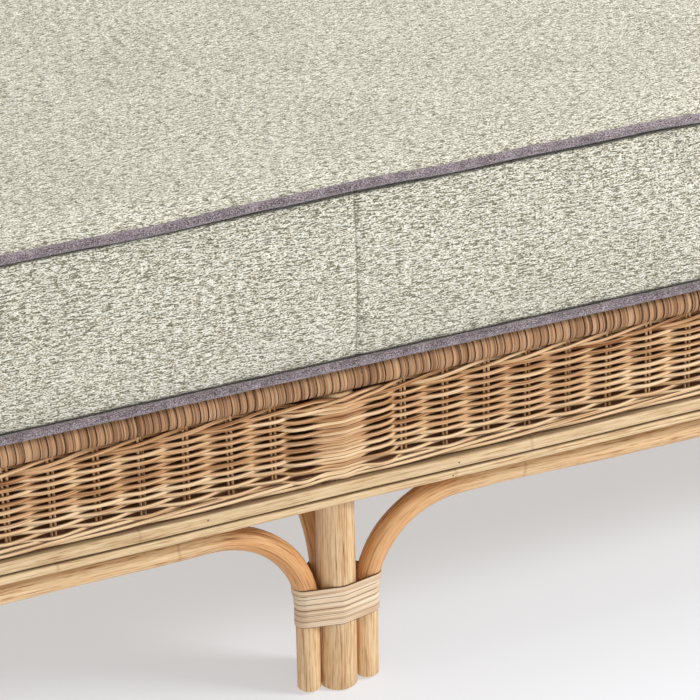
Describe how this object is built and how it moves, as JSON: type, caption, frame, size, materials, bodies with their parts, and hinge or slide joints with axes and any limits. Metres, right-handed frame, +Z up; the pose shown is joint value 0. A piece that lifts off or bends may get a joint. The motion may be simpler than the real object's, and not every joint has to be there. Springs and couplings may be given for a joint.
{
  "type": "daybed",
  "caption": "Daybed of bent rattan poles with a woven apron, cane-wrapped rails, raised woven ends and a loose piped mattress that lifts off.",
  "frame": {"origin": "on the floor, under the middle of the bed", "axes": "+X along the bed's length to its right end, +Y from the front to the back, +Z up"},
  "size_m": [2.0696, 0.87, 0.7096],
  "materials": {
    "pole_rattan": "satin",
    "strip_rattan": "satin",
    "split_cane": "satin",
    "woven_rattan": "matte",
    "slat_timber": "matte",
    "mattress_fabric": "matte",
    "piping_fabric": "matte",
    "foam": "matte"
  },
  "bodies": {
    "frame": {"mid_leg_front": "pole_rattan", "mid_leg_back": "pole_rattan", "end_hoop_left": "pole_rattan", "end_hoop_right": "pole_rattan", "brace_front_left": "pole_rattan", "brace_front_right": "pole_rattan", "brace_back_left": "pole_rattan", "brace_back_right": "pole_rattan", "brace_left_end": "pole_rattan", "brace_right_end": "pole_rattan", "brace_cross": "pole_rattan", "top_rail_front": "pole_rattan", "top_rail_back": "pole_rattan", "top_rail_left": "pole_rattan", "top_rail_right": "pole_rattan", "bottom_rail_front_left": "pole_rattan", "bottom_rail_front_right": "pole_rattan", "bottom_rail_back_left": "pole_rattan", "bottom_rail_back_right": "pole_rattan", "bottom_rail_left": "pole_rattan", "bottom_rail_right": "pole_rattan", "leg_binding_front_left": "split_cane", "leg_binding_front_mid": "split_cane", "leg_binding_front_right": "split_cane", "leg_binding_back_left": "split_cane", "leg_binding_back_mid": "split_cane", "leg_binding_back_right": "split_cane", "rail_wrap_front": "split_cane", "rail_wrap_back": "split_cane", "facing_lower_front": "strip_rattan", "facing_lower_back": "strip_rattan", "facing_lower_left": "strip_rattan", "facing_lower_right": "strip_rattan", "facing_upper_front": "strip_rattan", "facing_upper_back": "strip_rattan", "facing_upper_left": "strip_rattan", "facing_upper_right": "strip_rattan", "apron_weave_front": "woven_rattan", "apron_weave_back": "woven_rattan", "apron_weave_left": "woven_rattan", "apron_weave_right": "woven_rattan", "end_panel_left": "woven_rattan", "end_panel_right": "woven_rattan", "ledger_front": "slat_timber", "ledger_back": "slat_timber", "slat_1": "slat_timber", "slat_2": "slat_timber", "slat_3": "slat_timber", "slat_4": "slat_timber", "slat_5": "slat_timber", "slat_6": "slat_timber", "slat_7": "slat_timber", "slat_8": "slat_timber", "slat_9": "slat_timber"},
    "mattress": {"mattress_base": "mattress_fabric", "mattress_boxing": "mattress_fabric", "mattress_top": "mattress_fabric", "mattress_foam": "foam", "piping_base": "piping_fabric", "piping_top": "piping_fabric"}
  },
  "joints": [
    {"name": "mattress_lift", "type": "slide", "parent": "frame", "child": "mattress", "axis": [0, 0, 1], "range_m": [0, 0.25]}
  ]
}
